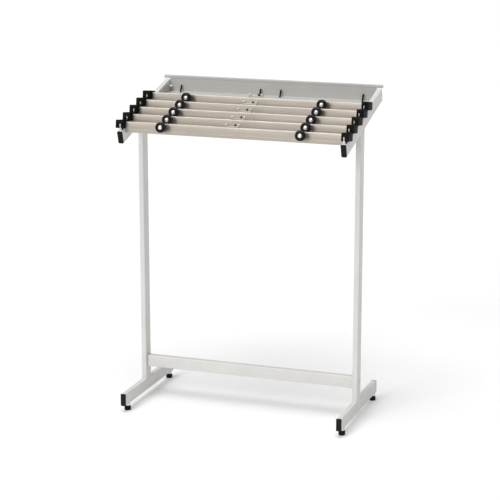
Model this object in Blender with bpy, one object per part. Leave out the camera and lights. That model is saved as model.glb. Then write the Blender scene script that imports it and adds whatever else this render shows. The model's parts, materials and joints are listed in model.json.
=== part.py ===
"""Newspaper rack: a steel stand that carries five clamping newspaper holders and a magazine tray.

Two side frames, each a foot, a post and a sloping arm, are joined by a crossbar. Each holder hangs
between the arms on two pins. Its front rail is a jaw that two knobs press against the rear rail.
Metres, +X to the right, +Y to the back, +Z up. The origin is on the floor, under the middle.
"""

import math

import bmesh
import bpy
from mathutils import Matrix, Vector

MM = 0.001
GAP = 0.3 * MM  # left between pieces that touch

# Side frames, all of one flat-sided steel tube
RACK_WIDTH = 590 * MM
TUBE_WIDE = 13.5 * MM
TUBE_DEEP = 32 * MM
TUBE_WALL = 1.2 * MM
TUBE_CORNER = 2 * MM
FOOT_FRONT = -156.4 * MM  # measured from the post's centre line
FOOT_BACK = 171.2 * MM
FOOT_CLEARANCE = 18 * MM
ARM_ANGLE = math.radians(15.95)
ARM_FRONT = -148.7 * MM  # front top corner of the arm, its plug included
ARM_FRONT_HEIGHT = 730 * MM
ARM_LENGTH = 333 * MM
PLUG_HEAD = 3 * MM
PLUG_SPIGOT = 6 * MM

# Crossbar
BAR_HEIGHT = 30.5 * MM
BAR_DEPTH = 17.6 * MM
BAR_CENTRE_HEIGHT = 98 * MM
BAR_END_PLATE = 3 * MM

# Glides under the feet
GLIDE_FRONT = -127.5 * MM
GLIDE_BACK = 157.5 * MM
GLIDE_RADIUS = 8.3 * MM
GLIDE_BASE = 11 * MM
GLIDE_STUD_RADIUS = 3.9 * MM
GLIDE_STUD_TOP = 34 * MM

# Screws
SCREW_RADIUS = 2.4 * MM
SCREW_HOLE = 2.7 * MM
SCREW_HEAD_RADIUS = 4.6 * MM
SCREW_HEAD = 2.2 * MM
SCREW_REACH = 9 * MM  # past the tube's inner face

# Pins that the holders hang on
HOLDERS = 5
PIN_RADIUS = 3 * MM
PIN_FOOT = 0.7 * MM  # sunk in the arm's top wall
PIN_STAND = 17.8 * MM  # above the arm's top
FIRST_PIN = -141.2 * MM
PIN_PITCH = 43.2 * MM

# Holder, in its own tilted frame: Y back, Z up, from the top of the pin
HOLDER_TILT = math.radians(8)
RAIL_END = 280.5 * MM
RAIL_TOP = 4.6 * MM
RAIL_BOTTOM = -22.1 * MM
RAIL_STEP = -14 * MM  # groove between the front face's two bands
RAIL_WALL = 1.3 * MM
FRONT_RAIL = (16.5 * MM, 21.4 * MM)
REAR_RAIL = (26.9 * MM, 31.4 * MM)
CAP_INNER = 280.8 * MM
CAP_FRONT_INNER = 282.2 * MM
CAP_OUTER = 300 * MM
CAP_FRONT = -3.8 * MM
CAP_STEP = 13 * MM
CAP_BACK = 36.7 * MM
CAP_TOP = 8.8 * MM
CAP_BOTTOM = -12 * MM
CAP_ROUND = 2.4 * MM
NOTCH_WIDTH = 6.7 * MM
NOTCH_BACK = 5.2 * MM
TONGUE_LENGTH = 13 * MM
TONGUE_ROOT = 2 * MM
TONGUE_TOP = 2 * MM
TONGUE_BOTTOM = -4.5 * MM  # clear of the arm

# Clamp
KNOB_X = 180 * MM
KNOB_HEIGHT = -4.4 * MM
STUD_RADIUS = 2.9 * MM
STUD_FRONT = 2 * MM
FRONT_RAIL_HOLE = 3.5 * MM
KNOB_BORE = 3.2 * MM
KNOB_BORE_DEPTH = 19.7 * MM
KNOB_PROFILE = (  # radius, distance in front of the rail
    (8, 0),
    (6.6, 9.5),
    (12.3, 13.4),
    (13, 15.6),
    (13, 20.8),
    (11.6, 22.6),
    (5.4, 22.6),
    (4.6, 24.4),
    (1.8, 25.4),
)

# Tag fitting on the front rail: a low strip with two buttons and a small stop between them
STRIP_LENGTH = 38 * MM
STRIP = (17.3 * MM, 20.6 * MM)
STRIP_TOP = 9 * MM
BUTTON_X = 16 * MM
BUTTON_PROFILE = (  # radius, height
    (1.4, 8.2),
    (1.4, 10.4),
    (4.7, 10.9),
    (5.3, 12),
    (4.4, 13.8),
    (2.2, 14.8),
)
STOP_X = 7 * MM
STOP_PROFILE = ((1.4, 8.2), (1.4, 9.3), (2.3, 9.6), (2.3, 13.2), (1.5, 13.8))

# Magazine tray
SHEET = 1.2 * MM
TRAY_FRONT = 84 * MM
TRAY_BACK = 172 * MM
SHELF_HEIGHT = 789 * MM
TRAY_LIP = 8 * MM
TRAY_TOP = 831.6 * MM
RIM_WIDTH = 595 * MM
RIM_HEIGHT = 9 * MM
RIM_DEPTH = 5.4 * MM
TRAY_BOLT = (164 * MM, 803 * MM)
CLINCH_NUT_RADIUS = 5 * MM
CLINCH_NUT = 5 * MM
PEG_RADIUS = 2.2 * MM
PEG_HEAD_RADIUS = 3.6 * MM
PEG_HEAD = 1.6 * MM
PEG_X = (("inner", 27.5 * MM), ("outer", 247.5 * MM))
PEG_START = 160 * MM
PEG_HEIGHT = 18 * MM
PEG_LEAN = math.radians(28)

ARM_X = RACK_WIDTH / 2 - TUBE_WIDE / 2
ARM_TURN = Matrix.Rotation(ARM_ANGLE - math.pi / 2, 4, "X")
SIDES = (("left", -1), ("right", 1))
ROUND = 16
SMALL_ROUND = 12


def arm_top(y):
    """Height of the arms' top face at a distance behind the post's centre line."""
    return ARM_FRONT_HEIGHT + (y - ARM_FRONT) * math.tan(ARM_ANGLE)


def depth_centre():
    """Middle of the rack from front to back, between the front foot plugs and the arms' ends."""
    arm_back = ARM_FRONT + ARM_LENGTH * math.cos(ARM_ANGLE) + TUBE_DEEP * math.sin(ARM_ANGLE)
    return (arm_back + FOOT_FRONT) / 2


def pin_top(number):
    """Where the top of one holder's pins is, as distance back and height."""
    y = FIRST_PIN + number * PIN_PITCH
    return y, arm_top(y) + PIN_STAND


def material(name, colour, roughness, metallic=0.0):
    result = bpy.data.materials.new(name)
    result.use_nodes = True
    shader = result.node_tree.nodes["Principled BSDF"]
    shader.inputs["Base Color"].default_value = (*colour, 1)
    shader.inputs["Roughness"].default_value = roughness
    shader.inputs["Metallic"].default_value = metallic
    return result


def add_object(name, mesh_data, surface, parent=None):
    """Turns a bmesh into a named object, round faces smooth and edges sharp."""
    bmesh.ops.recalc_face_normals(mesh_data, faces=mesh_data.faces)
    mesh = bpy.data.meshes.new(name)
    mesh_data.to_mesh(mesh)
    mesh_data.free()
    mesh.shade_smooth()
    mesh.set_sharp_from_angle(angle=math.radians(35))
    result = bpy.data.objects.new(name, mesh)
    bpy.context.collection.objects.link(result)
    result.parent = parent
    if surface:
        mesh.materials.append(surface)
    return result


def add_chain(target, rings, place=Matrix.Identity(4), loop=False):
    """Joins rings of equal count into a closed body: a ring of rings, or a chain with flat ends."""
    rows = [[target.verts.new(place @ Vector(point)) for point in ring] for ring in rings]
    following = rows[1:] + rows[:1] if loop else rows[1:]
    for low, high in zip(rows, following):
        for i in range(len(low)):
            j = (i + 1) % len(low)
            target.faces.new((low[i], low[j], high[j], high[i]))
    if not loop:
        target.faces.new(rows[0])
        target.faces.new(rows[-1])


def circle(radius, height, count):
    turns = (2 * math.pi * (i + 0.5) / count for i in range(count))
    return [(radius * math.cos(turn), radius * math.sin(turn), height) for turn in turns]


def add_turned(target, profile, place=Matrix.Identity(4), count=SMALL_ROUND):
    """A turned body about local Z; the profile's ends close flat."""
    add_chain(target, [circle(radius, height, count) for radius, height in profile], place)


def rounded_rectangle(wide, deep, corner, height, steps=2):
    """Outline about local Z, wide in X and deep in Y."""
    points = []
    for quarter in range(4):
        side_x = 1 if quarter in (0, 3) else -1
        side_y = 1 if quarter < 2 else -1
        for step in range(steps + 1):
            turn = (quarter + step / steps) * math.pi / 2
            x = side_x * (wide / 2 - corner) + corner * math.cos(turn)
            y = side_y * (deep / 2 - corner) + corner * math.sin(turn)
            points.append((x, y, height))
    return points


def add_prism(target, outline, low, high):
    """Extrudes an outline of (y, z) points from one X to another."""
    add_chain(target, [[(x, y, z) for y, z in outline] for x in (low, high)])


def box(low, high):
    result = bmesh.new()
    outline = ((low[1], low[2]), (high[1], low[2]), (high[1], high[2]), (low[1], high[2]))
    add_prism(result, outline, low[0], high[0])
    return result


def rod(radius, start, end, count=SMALL_ROUND):
    """A plain round bar between two points."""
    result = bmesh.new()
    run = Vector(end) - Vector(start)
    turn = run.to_track_quat("Z", "Y").to_matrix().to_4x4()
    place = Matrix.Translation(start) @ turn
    add_turned(result, ((radius, 0), (radius, run.length)), place, count)
    return result


def combine(target, tool, operation="DIFFERENCE"):
    """Cuts a tool body from an object, or joins it on, and hides the tool."""
    cutter = add_object(target.name + "_tool", tool, None, target.parent)
    cutter.hide_render = True
    cutter.display_type = "WIRE"
    modifier = target.modifiers.new("combine", "BOOLEAN")
    modifier.operation = operation
    modifier.solver = "EXACT"
    modifier.object = cutter


def merge(bodies):
    """Puts several separate bodies into one mesh."""
    result = bmesh.new()
    for body in bodies:
        mesh = bpy.data.meshes.new("piece")
        body.to_mesh(mesh)
        body.free()
        result.from_mesh(mesh)
        bpy.data.meshes.remove(mesh)
    return result


def tube(length, wide, deep, wall, place, top_slope=0.0):
    """A rounded rectangular tube along local Z, its far end cut on a slope if asked."""
    result = bmesh.new()
    inner = (wide - 2 * wall, deep - 2 * wall, TUBE_CORNER - wall)
    rings = []
    for size in ((wide, deep, TUBE_CORNER), inner):
        near = rounded_rectangle(*size, 0)
        far = [(x, y, length + y * top_slope) for x, y, z in near]
        rings.append((near, far))
    (outer_near, outer_far), (inner_near, inner_far) = rings
    add_chain(result, [outer_near, outer_far, inner_far, inner_near], place, loop=True)
    return result


def make_foot(side, sign, paint):
    turn = Matrix.Rotation(-math.pi / 2, 4, "X")
    start = (sign * ARM_X, FOOT_FRONT + PLUG_HEAD + GAP, FOOT_CLEARANCE + TUBE_DEEP / 2)
    length = FOOT_BACK - FOOT_FRONT - 2 * (PLUG_HEAD + GAP)
    body = tube(length, TUBE_WIDE, TUBE_DEEP, TUBE_WALL, Matrix.Translation(start) @ turn)
    foot = add_object(side + "_foot", body, paint)
    holes = []
    for y in (GLIDE_FRONT, GLIDE_BACK):
        low = (sign * ARM_X, y, FOOT_CLEARANCE - TUBE_DEEP / 4)
        high = (sign * ARM_X, y, FOOT_CLEARANCE + TUBE_DEEP / 4)
        holes.append(rod(GLIDE_STUD_RADIUS + GAP, low, high, ROUND))
    combine(foot, merge(holes))


def make_post(side, sign, paint):
    bottom = FOOT_CLEARANCE + TUBE_DEEP + GAP
    top = arm_top(0) - TUBE_DEEP / math.cos(ARM_ANGLE) - GAP
    place = Matrix.Translation((sign * ARM_X, 0, bottom))
    body = tube(top - bottom, TUBE_WIDE, TUBE_DEEP, TUBE_WALL, place, math.tan(ARM_ANGLE))
    post = add_object(side + "_post", body, paint)
    inner = (sign * (ARM_X - TUBE_WIDE), 0, BAR_CENTRE_HEIGHT)
    outer = (sign * (ARM_X + TUBE_WIDE), 0, BAR_CENTRE_HEIGHT)
    combine(post, rod(SCREW_HOLE, inner, outer))


def arm_place(sign, along):
    """Frame on the arm's centre line, local Z running up the arm and local Y down through it."""
    run = Vector((0, math.cos(ARM_ANGLE), math.sin(ARM_ANGLE)))
    down = Vector((0, math.sin(ARM_ANGLE), -math.cos(ARM_ANGLE)))
    corner = Vector((sign * ARM_X, ARM_FRONT, ARM_FRONT_HEIGHT))
    return Matrix.Translation(corner + run * along + down * TUBE_DEEP / 2) @ ARM_TURN


def make_arm(side, sign, paint):
    """Arm tube, closed at the rear end, with the holders' five pins fixed in its top wall."""
    start = PLUG_HEAD + GAP
    body = tube(ARM_LENGTH - start, TUBE_WIDE, TUBE_DEEP, TUBE_WALL, arm_place(sign, start))
    arm = add_object(side + "_arm", body, paint)
    closure = bmesh.new()
    back = arm_place(sign, ARM_LENGTH - 2 * TUBE_WALL)
    size = (TUBE_WIDE - TUBE_WALL, TUBE_DEEP - TUBE_WALL, TUBE_CORNER - TUBE_WALL / 2)
    rings = [rounded_rectangle(*size, z) for z in (0, 1.5 * TUBE_WALL)]
    add_chain(closure, rings, back)
    combine(arm, closure, "UNION")
    across = (Vector((sign * (ARM_X + reach), *TRAY_BOLT)) for reach in (-TUBE_WIDE, TUBE_WIDE))
    combine(arm, rod(SCREW_HOLE, *across))
    combine(arm, make_pins(sign), "UNION")


def make_pins(sign):
    """The five pins of one arm, rounded on top, each foot cut to the slope and sunk in the wall."""
    pins = bmesh.new()
    slope = math.tan(ARM_ANGLE)
    shoulder = PIN_STAND - 0.4 * PIN_RADIUS
    for number in range(HOLDERS):
        y, top = pin_top(number)
        place = Matrix.Translation((sign * ARM_X, y, top - PIN_STAND))
        foot = [(u, v, v * slope - PIN_FOOT) for u, v, _ in circle(PIN_RADIUS, 0, SMALL_ROUND)]
        upper = circle(PIN_RADIUS, shoulder, SMALL_ROUND)
        add_chain(pins, [foot, upper, circle(0.6 * PIN_RADIUS, PIN_STAND, SMALL_ROUND)], place)
    return pins


def make_plug(name, place, plastic):
    """A tube end plug: head flush with the tube's outside at local Z 0, spigot running inward."""
    spigot_wide = TUBE_WIDE - 2 * (TUBE_WALL + GAP)
    spigot_deep = TUBE_DEEP - 2 * (TUBE_WALL + GAP)
    bevel = 0.8 * MM
    rings = [
        rounded_rectangle(TUBE_WIDE - 2 * bevel, TUBE_DEEP - 2 * bevel, TUBE_CORNER, 0),
        rounded_rectangle(TUBE_WIDE, TUBE_DEEP, TUBE_CORNER, bevel),
        rounded_rectangle(TUBE_WIDE, TUBE_DEEP, TUBE_CORNER, PLUG_HEAD),
        rounded_rectangle(spigot_wide, spigot_deep, TUBE_CORNER / 4, PLUG_HEAD),
        rounded_rectangle(spigot_wide, spigot_deep, TUBE_CORNER / 4, PLUG_HEAD + PLUG_SPIGOT),
    ]
    plug = bmesh.new()
    add_chain(plug, rings, place)
    add_object(name, plug, plastic)


def make_plugs(side, sign, plastic):
    """Plugs in both ends of a foot and in the front end of an arm."""
    middle = FOOT_CLEARANCE + TUBE_DEEP / 2
    ends = (("foot_front", FOOT_FRONT, -math.pi / 2), ("foot_rear", FOOT_BACK, math.pi / 2))
    for end, y, turn in ends:
        place = Matrix.Translation((sign * ARM_X, y, middle)) @ Matrix.Rotation(turn, 4, "X")
        make_plug("%s_%s_plug" % (side, end), place, plastic)
    make_plug(side + "_arm_plug", arm_place(sign, 0), plastic)


def make_crossbar(paint):
    """A tube between the posts with an end plate at each end, tapped for the screw."""
    half = RACK_WIDTH / 2 - TUBE_WIDE - GAP
    inner_deep = BAR_DEPTH - 2 * TUBE_WALL
    inner_high = BAR_HEIGHT - 2 * TUBE_WALL
    place = Matrix.Translation((-half, 0, BAR_CENTRE_HEIGHT)) @ Matrix.Rotation(math.pi / 2, 4, "Y")
    outer = bmesh.new()
    rings = [rounded_rectangle(BAR_HEIGHT, BAR_DEPTH, TUBE_CORNER, z) for z in (0, 2 * half)]
    add_chain(outer, rings, place)
    bar = add_object("crossbar", outer, paint)
    reach = half - BAR_END_PLATE
    low = (-reach, -inner_deep / 2, BAR_CENTRE_HEIGHT - inner_high / 2)
    high = (reach, inner_deep / 2, BAR_CENTRE_HEIGHT + inner_high / 2)
    combine(bar, box(low, high))
    ends = []
    for _, sign in SIDES:
        start = (sign * (half + BAR_END_PLATE), 0, BAR_CENTRE_HEIGHT)
        end = (sign * (half - 2 * BAR_END_PLATE), 0, BAR_CENTRE_HEIGHT)
        ends.append(rod(SCREW_HOLE, start, end))
    combine(bar, merge(ends))


def make_screw(name, sign, y, z, steel):
    """A screw with its domed head on the tube's outer face and its shank running inward."""
    outer = RACK_WIDTH / 2 + GAP
    profile = (
        (SCREW_RADIUS, -TUBE_WIDE - SCREW_REACH),
        (SCREW_RADIUS, 0),
        (SCREW_HEAD_RADIUS, 0),
        (SCREW_HEAD_RADIUS, 0.4 * SCREW_HEAD),
        (0.5 * SCREW_HEAD_RADIUS, SCREW_HEAD),
    )
    screw = bmesh.new()
    add_turned(screw, profile)
    result = add_object(name, screw, steel)
    result.location = (sign * outer, y, z)
    result.rotation_euler = (0, sign * math.pi / 2, 0)


def make_glide(name, x, y, plastic):
    """A levelling glide on a stud that screws up into the foot."""
    profile = (
        (GLIDE_RADIUS - 1.8 * MM, 0),
        (GLIDE_RADIUS - 0.5 * MM, 0.5 * MM),
        (GLIDE_RADIUS, 1.9 * MM),
        (GLIDE_RADIUS, 0.9 * GLIDE_BASE),
        (0.8 * GLIDE_RADIUS, GLIDE_BASE),
        (GLIDE_STUD_RADIUS, GLIDE_BASE),
        (GLIDE_STUD_RADIUS, GLIDE_STUD_TOP),
    )
    body = bmesh.new()
    add_turned(body, profile, count=ROUND)
    add_object(name, body, plastic).location = (x, y, 0)


def rail_outline(front, back, stepped_side):
    """Section of a rail as (y, z): two flat bands with a groove between, on one side."""
    edge = 0.6 * MM
    drop = 0.7 * MM
    step = ((0, RAIL_STEP + edge), (drop, RAIL_STEP), (0.4 * drop, RAIL_STEP - edge))
    near = [(0, RAIL_TOP - edge), *step, (1.6 * drop, RAIL_BOTTOM + edge)]
    near.append((1.6 * drop + edge, RAIL_BOTTOM))
    thick = back - front
    far = [(thick - edge, RAIL_BOTTOM), (thick, RAIL_BOTTOM + edge)]
    far += [(thick, RAIL_STEP), (thick, RAIL_TOP - edge), (thick - edge, RAIL_TOP), (edge, RAIL_TOP)]
    outline = near + far
    if stepped_side == "front":
        return [(front + y, z) for y, z in outline]
    return [(back - y, z) for y, z in outline]


def rail(name, span, stepped_side, surface, parent):
    """A hollow extrusion from cap to cap."""
    outline = rail_outline(*span, stepped_side)
    middle = (sum(span) / 2, (RAIL_TOP + RAIL_BOTTOM) / 2)
    half = ((span[1] - span[0]) / 2, (RAIL_TOP - RAIL_BOTTOM) / 2)
    shrink = [(extent - RAIL_WALL) / extent for extent in half]
    hollow = [tuple(m + (v - m) * s for v, m, s in zip(p, middle, shrink)) for p in outline]
    rings = [[(x, y, z) for y, z in outline] for x in (-RAIL_END, RAIL_END)]
    rings += [[(x, y, z) for y, z in hollow] for x in (RAIL_END, -RAIL_END)]
    body = bmesh.new()
    add_chain(body, rings, loop=True)
    return add_object(name, body, surface, parent)


def make_front_rail(number, aluminium, parent):
    """The moving rail, bored for the studs, with a small fitting for a tag on its top."""
    result = rail("front_rail_%d" % number, FRONT_RAIL, "front", aluminium, parent)
    low, high = FRONT_RAIL[0] - RAIL_WALL, FRONT_RAIL[1] + RAIL_WALL
    ends = [((s * KNOB_X, low, KNOB_HEIGHT), (s * KNOB_X, high, KNOB_HEIGHT)) for _, s in SIDES]
    combine(result, merge([rod(FRONT_RAIL_HOLE, *end) for end in ends]))
    foot = RAIL_TOP - 0.6 * RAIL_WALL
    half = STRIP_LENGTH / 2
    combine(result, box((-half, STRIP[0], foot), (half, STRIP[1], STRIP_TOP)), "UNION")
    combine(result, tag_fittings(), "UNION")


def make_rear_rail(number, aluminium, parent):
    """The fixed rail, with the clamp's two studs pressed into its front wall."""
    result = rail("rear_rail_%d" % number, REAR_RAIL, "rear", aluminium, parent)
    root = REAR_RAIL[0] + RAIL_WALL / 2
    ends = [((s * KNOB_X, STUD_FRONT, KNOB_HEIGHT), (s * KNOB_X, root, KNOB_HEIGHT)) for _, s in SIDES]
    combine(result, merge([rod(STUD_RADIUS, *end) for end in ends]), "UNION")


def make_knob(number, side, sign, plastic, parent):
    body = bmesh.new()
    profile = [(KNOB_BORE, KNOB_BORE_DEPTH), (KNOB_BORE, 0)]
    profile += [(radius * MM, reach * MM) for radius, reach in KNOB_PROFILE]
    add_turned(body, profile, count=ROUND)
    knob = add_object("%s_knob_%d" % (side, number), body, plastic, parent)
    knob.location = (sign * KNOB_X, FRONT_RAIL[0] - GAP, KNOB_HEIGHT)
    knob.rotation_euler = (math.pi / 2, 0, 0)


def tag_fittings():
    """Two mushroom-headed buttons and the stop, standing in the strip."""
    fittings = bmesh.new()
    spots = ((-BUTTON_X, BUTTON_PROFILE), (BUTTON_X, BUTTON_PROFILE), (STOP_X, STOP_PROFILE))
    for x, steps in spots:
        profile = [(radius * MM, height * MM) for radius, height in steps]
        add_turned(fittings, profile, Matrix.Translation((x, sum(STRIP) / 2, 0)))
    return fittings


def arm_plane(y):
    """The arm's top face in a holder's tilted frame, as height at a distance back."""
    slope = math.tan(ARM_ANGLE + HOLDER_TILT)
    drop = PIN_STAND + GAP
    return -drop * math.cos(HOLDER_TILT) + (y - drop * math.sin(HOLDER_TILT)) * slope


def make_cap(number, side, sign, plastic, parent):
    """End cap: a block over the pin, cut to the arm's slope, with a skirt outside the arm."""
    low, high = sorted((sign * CAP_INNER, sign * CAP_OUTER))
    body = box((low, CAP_FRONT, CAP_BOTTOM), (high, CAP_BACK, CAP_TOP))
    cap = add_object("%s_cap_%d" % (side, number), body, plastic, parent)
    bevel = cap.modifiers.new("rounding", "BEVEL")
    bevel.width = CAP_ROUND
    bevel.segments = 2
    beyond = 10 * MM
    ramp = bmesh.new()
    outline = [(y, arm_plane(y) + GAP) for y in (CAP_FRONT - beyond, CAP_BACK + beyond)]
    outline += [(CAP_BACK + beyond, -3 * beyond), (CAP_FRONT - beyond, -3 * beyond)]
    skirt = RACK_WIDTH / 2 + GAP
    add_prism(ramp, outline, *sorted((sign * (CAP_INNER - beyond), sign * skirt)))
    combine(cap, ramp)
    low, high = sorted((sign * (CAP_INNER - beyond), sign * CAP_FRONT_INNER))
    combine(cap, box((low, CAP_FRONT - beyond, -3 * beyond), (high, CAP_STEP, 3 * beyond)))
    combine(cap, make_notch(sign))
    low, high = sorted((sign * (CAP_INNER - TONGUE_LENGTH), sign * (CAP_INNER + TONGUE_ROOT)))
    inner = RAIL_WALL + GAP
    span = (REAR_RAIL[0] + inner, REAR_RAIL[1] - inner)
    tongue = box((low, span[0], TONGUE_BOTTOM), (high, span[1], TONGUE_TOP))
    combine(cap, tongue, "UNION")


def make_notch(sign):
    """Round-topped slot for the pin, open at the cap's front and underside."""
    half = NOTCH_WIDTH / 2
    points = [(-half, -30 * MM), (half, -30 * MM)]
    steps = 6
    for step in range(steps + 1):
        turn = math.pi * step / steps
        points.append((half * math.cos(turn), half * 0.5 * (math.sin(turn) - 1)))
    notch = bmesh.new()
    rings = []
    for y in (CAP_FRONT - 10 * MM, NOTCH_BACK):
        rings.append([(sign * ARM_X + x, y, z + GAP) for x, z in points])
    add_chain(notch, rings)
    return notch


def make_holder(number, finishes):
    y, top = pin_top(number - 1)
    frame = bpy.data.objects.new("holder_%d" % number, None)
    bpy.context.collection.objects.link(frame)
    frame.location = (0, y, top + GAP)
    frame.rotation_euler = (-HOLDER_TILT, 0, 0)
    make_front_rail(number, finishes["aluminium"], frame)
    make_rear_rail(number, finishes["aluminium"], frame)
    for side, sign in SIDES:
        make_cap(number, side, sign, finishes["cap_plastic"], frame)
        make_knob(number, side, sign, finishes["knob_plastic"], frame)


def make_tray(paint):
    """Folded sheet tray: shelf with a low front lip, back with a hemmed rim, ends on the arms."""
    half = RACK_WIDTH / 2 - TUBE_WIDE - GAP
    under = SHELF_HEIGHT - SHEET
    outline = (
        (TRAY_FRONT, under),
        (TRAY_BACK + SHEET, under),
        (TRAY_BACK + SHEET, TRAY_TOP - RIM_HEIGHT / 2),
        (TRAY_BACK, TRAY_TOP - RIM_HEIGHT / 2),
        (TRAY_BACK, SHELF_HEIGHT),
        (TRAY_FRONT + SHEET, SHELF_HEIGHT),
        (TRAY_FRONT + SHEET, SHELF_HEIGHT + TRAY_LIP),
        (TRAY_FRONT, SHELF_HEIGHT + TRAY_LIP),
    )
    body = bmesh.new()
    add_prism(body, outline, -half, half)
    tray = add_object("magazine_tray", body, paint)
    rim = bmesh.new()
    place = Matrix.Translation((-RIM_WIDTH / 2, TRAY_BACK + 0.4 * RIM_DEPTH, TRAY_TOP - RIM_HEIGHT / 2))
    rings = [rounded_rectangle(RIM_HEIGHT, RIM_DEPTH, RIM_DEPTH * 0.4, z) for z in (0, RIM_WIDTH)]
    add_chain(rim, rings, place @ Matrix.Rotation(math.pi / 2, 4, "Y"))
    combine(tray, rim, "UNION")
    for _, sign in SIDES:
        combine(tray, end_flange(sign, half), "UNION")
        nut = [Vector((sign * (half - reach), *TRAY_BOLT)) for reach in (SHEET / 2, CLINCH_NUT)]
        combine(tray, rod(CLINCH_NUT_RADIUS, *nut), "UNION")
    holes = []
    for _, sign in SIDES:
        across = [Vector((sign * (half + reach), *TRAY_BOLT)) for reach in (-9 * MM, 5 * MM)]
        holes.append(rod(SCREW_HOLE, *across))
        for _, x in PEG_X:
            low = Vector((sign * x, PEG_START, SHELF_HEIGHT - 5 * MM))
            holes.append(rod(PEG_RADIUS + GAP, low, low + Vector((0, 0, 10 * MM))))
    combine(tray, merge(holes))


def end_flange(sign, half):
    """Upright end of the tray, a little lower than the arm that it is bolted to."""
    flange = bmesh.new()
    below = 5 * MM
    front, back = TRAY_FRONT + 2 * SHEET, TRAY_BACK + SHEET / 2
    outline = (
        (front, SHELF_HEIGHT - SHEET / 2),
        (back, SHELF_HEIGHT - SHEET / 2),
        (back, arm_top(back) - below),
        (front, arm_top(front) - below),
    )
    add_prism(flange, outline, *sorted((sign * (half - SHEET), sign * half)))
    return flange


def make_peg(name, x, coating):
    """A peg through the shelf, with a head under it and its upper part leaning back."""
    under = -SHEET - GAP
    profile = (
        (PEG_HEAD_RADIUS, under - PEG_HEAD),
        (PEG_HEAD_RADIUS, under),
        (PEG_RADIUS, under),
        (PEG_RADIUS, GAP),
        (PEG_RADIUS, PEG_HEIGHT - 0.5 * PEG_RADIUS),
        (0.6 * PEG_RADIUS, PEG_HEIGHT),
    )
    rings = []
    for radius, height in profile:
        lean = max(0, height) * math.tan(PEG_LEAN)
        rings.append([(u, v + lean, w) for u, v, w in circle(radius, height, SMALL_ROUND)])
    peg = bmesh.new()
    add_chain(peg, rings)
    add_object(name, peg, coating).location = (x, PEG_START, SHELF_HEIGHT)


def make_fittings(side, sign, finishes):
    """Plugs, screws, glides and pegs of one side."""
    make_plugs(side, sign, finishes["plug_plastic"])
    make_screw(side + "_bar_screw", sign, 0, BAR_CENTRE_HEIGHT, finishes["steel"])
    make_screw(side + "_tray_bolt", sign, *TRAY_BOLT, finishes["steel"])
    for end, y in (("front", GLIDE_FRONT), ("rear", GLIDE_BACK)):
        make_glide("%s_%s_glide" % (side, end), sign * ARM_X, y, finishes["plug_plastic"])
    for place, x in PEG_X:
        make_peg("%s_%s_peg" % (side, place), sign * x, finishes["cap_plastic"])


def centre_on_origin():
    """Moves the whole rack so that the origin is under its middle."""
    for item in bpy.data.objects:
        if item.parent is None:
            item.location.y -= depth_centre()


def main():
    for item in list(bpy.data.objects):
        bpy.data.objects.remove(item, do_unlink=True)
    paint = material("frame_paint", (0.78, 0.78, 0.75), 0.45)
    tray_paint = material("tray_paint", (0.72, 0.72, 0.69), 0.45)
    finishes = {
        "aluminium": material("rail_aluminium", (0.62, 0.57, 0.51), 0.35, 1.0),
        "steel": material("plated_steel", (0.75, 0.75, 0.74), 0.3, 1.0),
        "cap_plastic": material("cap_plastic", (0.02, 0.02, 0.019), 0.45),
        "knob_plastic": material("knob_plastic", (0.015, 0.015, 0.015), 0.35),
        "plug_plastic": material("plug_plastic", (0.02, 0.02, 0.022), 0.5),
    }
    for side, sign in SIDES:
        make_foot(side, sign, paint)
        make_post(side, sign, paint)
        make_arm(side, sign, paint)
        make_fittings(side, sign, finishes)
    make_crossbar(paint)
    make_tray(tray_paint)
    for number in range(1, HOLDERS + 1):
        make_holder(number, finishes)
    centre_on_origin()


main()
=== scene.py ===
"""Looks of the newspaper rack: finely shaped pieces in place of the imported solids, their finishes,
a pale floor, soft light and the camera.

Lengths are in metres in the row frame: +X right, +Y back, +Z up, origin on the floor. Profiles of
small parts are written in millimetres and scaled by in_mm. A holder's own frame has its origin just
above the tops of the two pins it hangs on, and leans back with the holder.
"""

import json
import math

import bmesh
import bpy
from mathutils import Matrix, Vector


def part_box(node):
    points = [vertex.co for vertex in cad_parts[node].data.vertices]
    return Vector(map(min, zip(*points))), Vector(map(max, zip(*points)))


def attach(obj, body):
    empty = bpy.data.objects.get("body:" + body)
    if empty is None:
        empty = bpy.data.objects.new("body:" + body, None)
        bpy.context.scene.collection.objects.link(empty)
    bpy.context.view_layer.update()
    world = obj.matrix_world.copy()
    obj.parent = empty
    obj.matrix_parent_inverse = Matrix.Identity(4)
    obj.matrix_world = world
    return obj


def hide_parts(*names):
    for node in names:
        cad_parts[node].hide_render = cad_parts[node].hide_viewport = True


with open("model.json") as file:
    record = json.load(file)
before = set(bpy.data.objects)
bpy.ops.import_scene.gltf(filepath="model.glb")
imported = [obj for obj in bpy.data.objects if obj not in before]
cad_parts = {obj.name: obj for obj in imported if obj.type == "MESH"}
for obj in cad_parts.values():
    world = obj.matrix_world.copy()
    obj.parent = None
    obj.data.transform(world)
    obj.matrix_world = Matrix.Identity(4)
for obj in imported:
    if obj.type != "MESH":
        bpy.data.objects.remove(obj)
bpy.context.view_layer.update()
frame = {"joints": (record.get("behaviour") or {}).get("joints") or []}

MM = 0.001
SHARP_EDGE = math.radians(32)
SIDES = (("left", -1), ("right", 1))
HOLDERS = range(1, 6)
JOINTS = {joint["name"]: joint for joint in frame["joints"]}

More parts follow.
